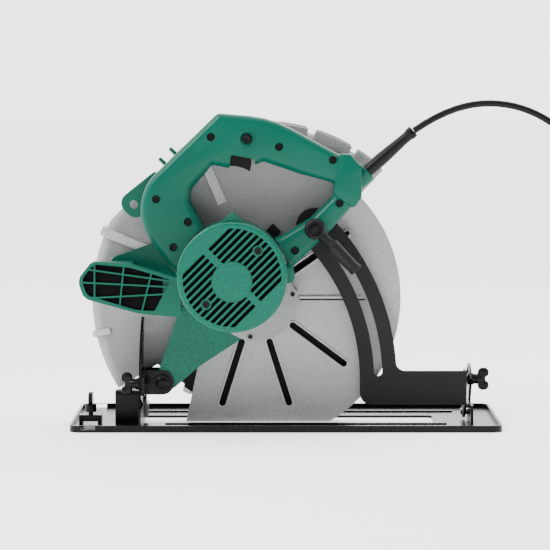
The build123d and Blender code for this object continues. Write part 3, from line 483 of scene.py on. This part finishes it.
def cut(piece, cutter, remove_cutter=True):
    """Subtract the cutter, whose material lines the cut."""
    tool = piece.modifiers.new("cut", "BOOLEAN")
    tool.operation = "DIFFERENCE"
    tool.solver = "EXACT"
    tool.material_mode = "TRANSFER"
    tool.object = cutter
    bpy.context.view_layer.update()
    graph = bpy.context.evaluated_depsgraph_get()
    mesh = bpy.data.meshes.new_from_object(piece.evaluated_get(graph), depsgraph=graph)
    piece.modifiers.clear()
    piece.data = mesh
    if remove_cutter:
        bpy.data.objects.remove(cutter)
    return piece


def join(name, pieces):
    """One object from several meshes that share a finish."""
    shape = bmesh.new()
    for piece in pieces:
        shape.from_mesh(piece.data)
    mesh = bpy.data.meshes.new(name)
    shape.to_mesh(mesh)
    shape.free()
    for piece in pieces:
        bpy.data.objects.remove(piece)
    made = bpy.data.objects.new(name, mesh)
    bpy.context.scene.collection.objects.link(made)
    return made


# ---------------------------------------------------------------- cord
def make_cord():
    """Mains cord on one smooth line, from the guard over to the coil, with the plug at its end."""
    plug_low, plug_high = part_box("plug_body")
    tail = Vector((plug_high.x, (plug_low.y + plug_high.y) / 2, (plug_low.z + plug_high.z) / 2))
    coil = coil_points()
    climb = ((-52, -14.4), (-26, -7.9), (0, -3.9), (26, -1.4), (52, -0.1), (78, 0))
    lead_out = []
    for turn, rise in climb:
        across, along = LEAD_OUT_R * cos(radians(turn)), LEAD_OUT_R * (sin(radians(turn)) - 1)
        lead_out.append(tail + Vector((across, along, rise)) * MM)
    lead_out += [tail + Vector((1, 0, 0)) * MM, tail - Vector((6, 0, 0)) * MM]
    points = CORD_ROUTE + coil + lead_out
    line = to_mesh(nurbs("cord_line", points, 0), "cord_line")
    path = [vertex.co.copy() for vertex in line.data.vertices]
    bpy.data.objects.remove(line)
    tube = smooth(to_mesh(nurbs("mains_cord", points, CORD_D), "mains_cord"), 60)
    tube.data.materials.clear()
    tube.data.materials.append(FINISH["rubber"])
    length = sum((b - a).length for a, b in zip(path, path[1:]))
    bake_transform(tube)
    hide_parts("cord_tube", "cord_coil")
    print("cord length", round(length, 3))
    return tube, path, length


def make_plug():
    """Round moulded plug with grip rings and a ribbed tail."""
    low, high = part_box("plug_body")
    start = Vector((low.x, (low.y + high.y) / 2, (low.z + high.z) / 2))
    profile = [(0, 0), (0, 14.5), (1.2, 16.4), (3, 16.9)]
    for groove in range(5):
        at = 9 + groove * 5
        profile += [(at, 16.9), (at + 0.8, 15.9), (at + 2, 15.9), (at + 2.8, 16.9)]
    profile += [(34, 16.6), (38, 14), (43, 9.5), (47, 7.4)]
    for rib in range(4):
        at = 48 + rib * 2
        profile += [(at, 7.2 - rib * 0.5), (at + 1, 6 - rib * 0.4)]
    profile += [(56, 5.2), (56, 0)]
    plug = lathe("mains_plug", profile, start, (1, 0, 0))
    return finish_piece(plug, "tilt_frame", "rubber", "plug_body")


def make_cord_guard():
    """Tapered rubber sleeve with a thumb-flattened waist and a flared, ringed end."""
    way = Vector((55, 0, 48)).normalized()
    end = Vector((157, -72, 367)) * MM
    start = end - way * 88 * MM
    profile = [(0, 0), (0, 8.4), (24, 8.4), (40, 8.1), (56, 7.3), (66, 6.7), (74, 6.5), (80, 6.7), (82, 7.6),
               (83, 8.1), (84, 7.6), (84.6, 7.5), (85.4, 8.1), (86.4, 7.6), (87, 8.1), (88, 7.4),
               (88, 4.0), (86, 0)]
    sleeve = lathe("cord_sleeve", profile, start, way)
    return finish_piece(sleeve, "saw_body", "rubber", "cord_guard")


cord, cord_path, cord_length = make_cord()
plug = make_plug()
sleeve = make_cord_guard()
nodes["plug_pins"].data.materials.clear()
nodes["plug_pins"].data.materials.append(FINISH["bright_steel"])


# ---------------------------------------------------------------- handle
HANDLE_SCREWS = ((-92, 360), (-159, 284), (-120, 256), (-138, 225), (-8.5, 348), (57.5, 332),
                 (65.5, 279), (11, 221))
BUTTON = (-48.0, 358.0)
HANDLE_OUTER = (
    (-84, 389, 9.5), (-18, 383.5, 130), (68, 337, 9.5), (79, 337, 9.5), (92, 322, 9.5), (92, 287, 12),
    (54.5, 245, 20),
    (-8, 184, 0), (-64, 180, 0), (-118, 166, 0), (-198, 278, 62),
)
HANDLE_INNER = (
    (60, 303.5, 8), (18, 314.5, 60), (-28, 330, 5), (-38, 326, 12), (-73, 322, 12), (-90, 326, 6),
    (-122, 289, 22),
    (-96, 244, 10), (-64, 225, 10), (-8, 237, 10), (30, 260, 25), (58, 288, 10),
)


TRIGGER_NOTCH = ((-70, 310, 0), (-36.5, 310, 0), (-38.5, 333, 2), (-67.5, 338.5, 2))
COLLAR = ((66, 339.5, 3), (79, 338.8, 4), (92.6, 323, 4), (93, 286, 8), (83, 272.5, 4),
          (57, 291, 8), (60, 304, 5))


def drum(name, middle, radius, far, near, material):
    """Plain cylinder along Y used as a cutting tool."""
    tool = lathe(name, [(0, 0), (0, radius), ((far - near) / MM, radius), ((far - near) / MM, 0)],
                 (middle[0] * MM, far, middle[1] * MM), (0, -1, 0), 40)
    tool.data.materials.append(material)
    return tool


def make_handle():
    """Both moulded halves from one rounded loop, split at the parting line."""
    loops = [rounded(HANDLE_OUTER), rounded(HANDLE_INNER)]
    whole = slab("handle", loops, HANDLE_FAR, HANDLE_NEAR, 8.5 * MM, 7)
    weld(whole)
    green = FINISH["green_moulded"]
    whole.data.materials.clear()
    whole.data.materials.append(green)
    outlet_way = Vector((55, 0, 48)).normalized()
    motor_spot = (MOTOR.x / MM, MOTOR.z / MM)
    cut(whole, drum("motor_cut", motor_spot, 66.3, HANDLE_FAR + 0.01, HANDLE_NEAR - 0.01, green))
    for name, keep_near in (("near", True), ("far", False)):
        half = whole.copy()
        half.data = whole.data.copy()
        half.name = "handle_" + name
        bpy.context.scene.collection.objects.link(half)
        shape = bmesh.new()
        shape.from_mesh(half.data)
        parting = SPLIT - 0.15 * MM if keep_near else SPLIT + 0.15 * MM
        cutting = bmesh.ops.bisect_plane(
            shape,
            geom=shape.verts[:] + shape.edges[:] + shape.faces[:],
            plane_co=(0, parting, 0),
            plane_no=(0, 1, 0),
            clear_outer=keep_near,
            clear_inner=not keep_near,
        )
        edges = [e for e in cutting["geom_cut"] if isinstance(e, bmesh.types.BMEdge)]
        bmesh.ops.triangle_fill(shape, edges=edges, use_beauty=True)
        shape.to_mesh(half.data)
        shape.free()
        notch = slab("notch", [rounded(TRIGGER_NOTCH)], HANDLE_FAR + 0.01, HANDLE_NEAR - 0.01, 0.2 * MM, 1)
        weld(notch)
        notch.data.materials.append(green)
        cut(half, notch)
        if keep_near:
            deep, out = HANDLE_NEAR + 9 * MM, HANDLE_NEAR - 4 * MM
            # Screw and button holes are lined with the near-black finish: painted shade inside the holes.
            for index, spot in enumerate(HANDLE_SCREWS):
                cut(half, drum(f"screw_cut_{index}", spot, 4.9, deep, out, PAINTED_SHADE))
            cut(half, drum("button_cut", BUTTON, 6.2, deep, out, PAINTED_SHADE))
        smooth(half, 40)
        half.data.materials[0] = green
        finish_piece(half, "saw_body", "green_moulded", "handle_shell_" + name)
    bpy.data.objects.remove(whole)
    profile = [(0, 0), (0, 13.6), (38.5, 13.6), (39.8, 12.6), (40, 11.5), (40, 8.7), (30, 8.7), (30, 0)]
    outlet = lathe("outlet", profile, Vector((70.5, -72, 291.5)) * MM, outlet_way)
    finish_piece(outlet, "saw_body", "green_moulded")
    band = slab("handle_collar", [rounded(COLLAR)], HANDLE_FAR + 1.4 * MM, HANDLE_NEAR - 1.4 * MM, 2.4 * MM)
    smooth(weld(band), 40)
    finish_piece(band, "saw_body", "green_moulded")
    for index, (x, z) in enumerate(((-139, 341.5), (-152, 329))):
        peg = lathe(f"edge_peg_{index}", [(-8, 0), (-8, 2.6), (5.4, 2.4), (6.2, 1.6), (6.2, 0)],
                    (x * MM, -61 * MM, z * MM), (-0.72, 0, 0.69), 24)
        finish_piece(peg, "saw_body", "green_moulded")


make_handle()


def turned(name, profile, node_or_spot, body, slot_name, *replaced, way=(0, -1, 0)):
    """Turned piece with a finish."""
    made = lathe(name, profile, node_or_spot, way)
    return finish_piece(made, body, slot_name, *replaced)


def make_handle_details():
    """Raised ring round the lock-off button, the button itself, and small eyelets round the screw holes."""
    spot = Vector((BUTTON[0] * MM, HANDLE_NEAR + 0.5 * MM, BUTTON[1] * MM))
    ring = [(0, 10.6), (1.4, 10.5), (2.1, 9.6), (2.1, 8.4), (1.2, 7.4), (0, 6.3)]
    turned("button_ring", ring, spot, "saw_body", "green_moulded")
    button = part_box("lock_off_button")
    start = Vector(((button[0].x + button[1].x) / 2, button[1].y, (button[0].z + button[1].z) / 2))
    turned("lock_button", [(0, 0), (0, 5.5), (9, 5.5), (9.9, 4.9), (10.15, 4.0), (9.5, 2.6), (9.2, 0)], start,
           "lock_button", "black_plastic", "lock_off_button")
    eyelet = [(0, 5.8), (0.6, 5.5), (0.7, 5.1), (0.2, 4.9), (-1, 4.85)]
    for index, (x, z) in enumerate(HANDLE_SCREWS):
        spot = Vector((x * MM, HANDLE_NEAR + 0.3 * MM, z * MM))
        turned(f"screw_eyelet_{index}", eyelet, spot, "saw_body", "green_moulded")


make_handle_details()


# ---------------------------------------------------------------- lever, wing bolts and pivot cap
def make_lever():
    """Lock lever: round hub with a recessed screw, a neck, and a tapered grip that ends in a collar."""
    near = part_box("depth_lock_lever")
    start = Vector((LOCK.x, near[1].y, LOCK.z))
    hub_profile = [(0, 0), (0, 10.6), (1.4, 12.4), (8.6, 13), (10.6, 12.6), (12.4, 11), (13, 9.4),
                   (12.4, 8.2), (9.8, 7.4), (9.8, 0)]
    hub = lathe("lever_hub", hub_profile, start, (0, -1, 0))
    down = Vector((cos(radians(-45)), 0, sin(radians(-45))))
    middle = Vector((LOCK.x, near[1].y - 7 * MM, LOCK.z))
    grip_profile = [(8, 0), (8, 6.4), (22, 6.4), (26, 7.4), (28, 8.9), (30, 9.3), (33, 8.9), (50, 8.3),
                    (63, 7.5), (66, 7.5), (67, 8.1), (70.6, 8.2), (71.8, 7.4), (72, 0)]
    grip = lathe("lever_grip", grip_profile, middle, down)
    lever = smooth(join("lock_lever", [hub, grip]))
    finish_piece(lever, "depth_lever", "charcoal", "depth_lock_lever")
    screw = lathe("lever_screw", [(0, 0), (0, 5.4), (2.6, 5.4), (3.4, 4.7), (3.6, 3.2), (2.2, 2.8), (1.6, 0)],
                  start + Vector((0, -9.6, 0)) * MM, (0, -1, 0), 30)
    finish_piece(screw, "depth_lever", "black_steel", "lever_cap_nut")


def make_wing_bolt(node, body, way):
    """Fat two-lobed wing on a stepped collar; the wing stands in the CAD bolt's place."""
    low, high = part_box(node)
    z, y = (low.z + high.z) / 2, (low.y + high.y) / 2
    outer = high.x if way > 0 else low.x
    inner = low.x if way > 0 else high.x
    lobes = ((7, 14, 6), (-6.6, 14, 5.5), (-6.6, 4.6, 2), (-2.6, 2.4, 2), (-2.6, -2.4, 2), (-6.6, -4.6, 2),
             (-6.6, -14, 5.5), (7, -14, 6))
    shape = [(outer / MM - way * 7 - way * x, z / MM + dz, r) for x, dz, r in lobes]
    wing = weld(slab(node + "_wing", [rounded(shape)], y + 3.6 * MM, y - 3.6 * MM, 2.2 * MM))
    wing.data.materials.clear()
    plate = abs(outer - inner) / MM
    profile = [(0, 0), (0, 4), (plate - 27, 4), (plate - 27, 7.4), (plate - 20, 7.4), (plate - 19, 6.4),
               (plate - 12, 6.2), (plate - 10, 5), (plate - 10, 0)]
    stem = lathe(node + "_stem", profile, (inner, y, z), (way, 0, 0), 36)
    bolt = smooth(join(node + "_looks", [wing, stem]), 40)
    finish_piece(bolt, body, "black_steel", node)


def make_pivot_cap():
    """Domed socket head on its washer, over the depth pivot."""
    low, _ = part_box("depth_pivot_bolt")
    start = Vector((PIVOT.x, low.y + 2.2 * MM, PIVOT.z))
    profile = [(0, 0), (0, 9.9), (0.9, 9.9), (1.3, 9.4), (1.3, 7.6), (2.6, 7.4), (3.3, 6.4), (3.9, 4.6),
               (4.1, 3.0), (2.6, 2.7), (2.6, 0)]
    cap = lathe("pivot_cap", profile, start, (0, -1, 0))
    finish_piece(cap, "tilt_frame", "black_steel")


make_lever()
make_wing_bolt("front_wing_bolt", "front_wing_bolt", -1)
make_wing_bolt("rear_wing_bolt", "rear_wing_bolt", 1)
make_pivot_cap()


# ---------------------------------------------------------------- guard castings
UPPER_HUB = Vector((-28.6, 157.4))
GUARD_FACE = -33.0 * MM


def on_guard(angle, radius):
    """Point round the upper guard's centre, in millimetres."""
    return UPPER_HUB + Vector((cos(radians(angle)), sin(radians(angle)))) * radius


def guard_pad(name, start, end, inner, outer, proud):
    """Raised sector on the near face and rim of the upper guard."""
    arc = [on_guard(start + (end - start) * k / 24, outer) * MM for k in range(25)]
    back = [on_guard(end + (start - end) * k / 24, inner) * MM for k in range(25)]
    pad = smooth(weld(slab(name, [arc + back], GUARD_FACE + 22 * MM, GUARD_FACE - proud * MM, 1.6 * MM)), 40)
    finish_piece(pad, "saw_body", "cast_grey")


def guard_rib(name, angle, inner, outer, width, proud, depth):
    """Rounded radial bar on the near face of the upper guard."""
    side = on_guard(angle + 90, 1) - UPPER_HUB
    a, b = on_guard(angle, inner), on_guard(angle, outer)
    corners = [(*(a + side * width / 2), 2.5), (*(b + side * width / 2), 2.5), (*(b - side * width / 2), 2.5),
               (*(a - side * width / 2), 2.5)]
    rib = slab(name, [rounded(corners)], GUARD_FACE + depth * MM, GUARD_FACE - proud * MM, 1.3 * MM)
    smooth(weld(rib), 40)
    rib.data.materials.clear()
    # The bar takes the lighter copy of cast aluminium: painted highlight.
    finish_piece(rib, "saw_body", "cast_grey", material=CAST_PAINTED_HIGHLIGHT)


def slot_rim(name, angle):
    """Raised bead round one radial slot of the lower guard."""
    way = Vector((cos(radians(angle)), sin(radians(angle))))
    middle = Vector((ARBOR.x, ARBOR.z))

    def capsule(half_length, radius):
        first, last = middle + way * (98.5 + half_length) * MM, middle + way * (98.5 - half_length) * MM
        turn = radians(angle)
        return (ring_points(first, radius * MM, 13, turn - pi / 2, turn + pi / 2)
                + ring_points(last, radius * MM, 13, turn + pi / 2, turn + 3 * pi / 2))

    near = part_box("lower_guard")[0].y
    bead = slab(name, [capsule(40, 6.3), capsule(40, 4.1)], near + 1.2 * MM, near - 0.7 * MM, 0.75 * MM)
    smooth(weld(bead), 50)
    bead.data.materials.clear()
    # The bead takes the lighter copy of cast aluminium: painted highlight on the slot's rim.
    finish_piece(bead, "lower_guard", "cast_grey", material=CAST_PAINTED_HIGHLIGHT)


def make_guard_details():
    """Rim pads, radial ribs, the slotted boss by the depth guide, and the lower guard's cross rib."""
    for index, (start, end) in enumerate(((47, 57.5), (59.5, 72.5), (75, 100))):
        guard_pad(f"guard_pad_{index}", start, end, 196, 219.5, 2.4)
    guard_rib("guard_rib_top", 113, 128, 205, 13, 4.2, 4)
    guard_rib("guard_rib_front", 157, 138, 216, 12, 4.6, 2)
    guard_rib("guard_rim_rib", 157, 206, 219, 11.4, 4.1, 45)
    guard_rib("guard_rib_low", 192, 194, 216, 8, 3.4, 2)
    guard_rib("guard_rim_low", 192, 206, 217.5, 7.4, 2.9, 45)
    boss = [(78, 247, 6), (66, 236, 6), (73, 229, 6), (85, 240, 6)]
    hole = [(77.4, 243.2, 2.6), (70.4, 236.8, 2.6), (73.6, 233.2, 2.6), (80.6, 239.6, 2.6)]
    loops = [rounded(boss), rounded(hole)]
    ring = slab("slot_boss", loops, GUARD_FACE + 1 * MM, GUARD_FACE - 2 * MM, 0.6 * MM)
    finish_piece(smooth(weld(ring), 40), "saw_body", "cast_grey")
    # Near-black plate under the boss's hole: painted shade inside the hole.
    dark = slab("slot_boss_shade", [rounded(boss)], GUARD_FACE + 0.6 * MM, GUARD_FACE - 0.5 * MM, 0.2 * MM)
    smooth(weld(dark), 40)
    dark.data.materials.clear()
    finish_piece(dark, "saw_body", "black_plastic", material=PAINTED_SHADE)
    for index, angle in enumerate((-107.3, -72.3, -36.8, 35.0)):
        slot_rim(f"slot_rim_{index}", angle)
    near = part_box("lower_guard")[0].y
    rib = lathe("guard_cross_rib", [(0, 0), (1, 2.6), (70, 2.6), (80, 2.0), (82, 0)],
                (15.5 * MM, near + 1.2 * MM, 158.6 * MM), (1, 0, 0), 24)
    # The cross rib takes the lighter copy of cast aluminium: painted highlight.
    finish_piece(rib, "lower_guard", "cast_grey", material=CAST_PAINTED_HIGHLIGHT)
    # Thin near-black rod along the cross rib: painted shade of a groove.
    groove = lathe("guard_groove_shade", [(0, 0), (1, 0.9), (82, 0.9), (84, 0)],
                   (17 * MM, near + 1.3 * MM, 155.2 * MM), (1, 0, 0), 12)
    finish_piece(groove, "lower_guard", "cast_grey", material=PAINTED_SHADE)


def make_shade_screens():
    """Near-black sheets just behind the grille and the cover's slots: painted shade for the dark inside."""
    inside = ((-249, 187, 12), (-234, 206, 11), (-190, 202, 50), (-140, 187, 3), (-160, 149, 3),
              (-182, 150, 40), (-242, 168, 10))
    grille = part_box("exhaust_grille")[1].y
    screen = slab("grille_shade_sheet", [rounded(inside)], grille + 1.5 * MM, grille + 0.5 * MM, 0.2 * MM)
    smooth(weld(screen))
    screen.data.materials.clear()
    finish_piece(screen, "saw_body", "black_plastic", material=PAINTED_SHADE)
    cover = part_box("motor_cover")[0].y
    middle = (MOTOR.x, MOTOR.z)
    loops = [ring_points(middle, 58 * MM), ring_points(middle, 20 * MM)]
    ring = slab("cover_shade_sheet", loops, cover + 6.4 * MM, cover + 5.4 * MM, 0.2 * MM)
    smooth(weld(ring)).data.materials.clear()
    finish_piece(ring, "saw_body", "black_plastic", material=PAINTED_SHADE)


make_guard_details()
make_shade_screens()


# ---------------------------------------------------------------- carried-over CAD nodes
BEVELS = {"base_plate": 0.8, "front_tilt_bracket": 0.6, "depth_guide": 0.5, "pivot_arm": 1.6, "gear_case": 1.0,
          "lower_guard": 0.5, "motor_cover": 0.5, "motor_housing": 1.0, "upper_guard": 1.0, "front_hinge_block": 1.2,
          "fence_bracket": 0.8, "front_quadrant": 0.5, "rear_quadrant": 0.5, "trigger": 1.0, "hanging_ear": 1.0,
          "exhaust_duct": 1.2, "exhaust_grille": 0.4, "spindle_lock_button": 0.8, "depth_lock_lever": 1.2}


def dress_cad():
    """Procedural finish, softened edges and smooth shading on every CAD node."""
    slots = {entry["node"]: entry["material_slot"] for entry in frame["record"]["subparts"]}
    for name, node in nodes.items():
        node.data.materials.clear()
        # The lower guard takes the lighter cast aluminium copy, painted light; the blade's near-black body is partly
        # painted shade.
        special = {"saw_blade": BLADE, "lower_guard": CAST_PAINTED_LIGHT}
        node.data.materials.append(special.get(name, FINISH[slots[name]]))
        if name in BEVELS:
            soft = node.modifiers.new("edges", "BEVEL")
            soft.width = BEVELS[name] * MM
            soft.segments = 2
            soft.limit_method = "ANGLE"
            soft.angle_limit = radians(40)
            soft.use_clamp_overlap = True
        node.data.polygons.foreach_set("use_smooth", [True] * len(node.data.polygons))
        node.data.set_sharp_from_angle(angle=radians(35))


dress_cad()


# ---------------------------------------------------------------- light and floor
def make_world():
    """Bright surroundings behind, above and to the left; dim towards the viewer's side."""
    world = bpy.data.worlds.new("studio")
    world.use_nodes = True
    tree = world.node_tree
    coords = tree.nodes.new("ShaderNodeTexCoord")
    lean = tree.nodes.new("ShaderNodeVectorMath")
    lean.operation = "DOT_PRODUCT"
    lean.inputs[1].default_value = Vector((-0.35, 0.8, 0.45)).normalized()
    tree.links.new(coords.outputs["Generated"], lean.inputs[0])
    level = tree.nodes.new("ShaderNodeMapRange")
    level.interpolation_type = "SMOOTHSTEP"
    level.inputs["From Min"].default_value = -0.7
    level.inputs["From Max"].default_value = 0.75
    level.inputs["To Min"].default_value = 0.15
    level.inputs["To Max"].default_value = 3.4
    tree.links.new(lean.outputs["Value"], level.inputs["Value"])
    tree.links.new(level.outputs["Result"], tree.nodes["Background"].inputs["Strength"])
    tree.nodes["Background"].inputs["Color"].default_value = (1, 1, 1, 1)
    bpy.context.scene.world = world


def make_stage():
    """Pale floor and three soft boxes."""
    shape = bmesh.new()
    bmesh.ops.create_grid(shape, x_segments=1, y_segments=1, size=30)
    mesh = bpy.data.meshes.new("floor")
    shape.to_mesh(mesh)
    shape.free()
    floor = bpy.data.objects.new("floor", mesh)
    bpy.context.scene.collection.objects.link(floor)
    paper = mottled("floor_paper", (0.95, 0.95, 0.95), 0.95, grain=40, depth=0.0, vary=0.004, span=0.02)
    glow = paper.node_tree.nodes["Principled BSDF"]
    glow.inputs["Emission Color"].default_value = (1, 1, 1, 1)
    glow.inputs["Emission Strength"].default_value = 0.75
    glow.inputs["Specular IOR Level"].default_value = 0.0
    floor.data.materials.append(paper)
    make_world()
    for name, spot, size, power in (
        ("key", (-1.5, -1.3, 1.9), 0.8, 46),
        ("fill", (1.9, -1.7, 0.9), 1.0, 5),
        ("rim", (0.5, 0.9, 1.5), 1.2, 12),
    ):
        data = bpy.data.lights.new(name, "AREA")
        data.size = size
        data.energy = power
        lamp = bpy.data.objects.new(name, data)
        lamp.location = spot
        lamp.rotation_euler = (Vector((0, 0, 0.2)) - Vector(spot)).to_track_quat("-Z", "Y").to_euler()
        bpy.context.scene.collection.objects.link(lamp)


make_stage()
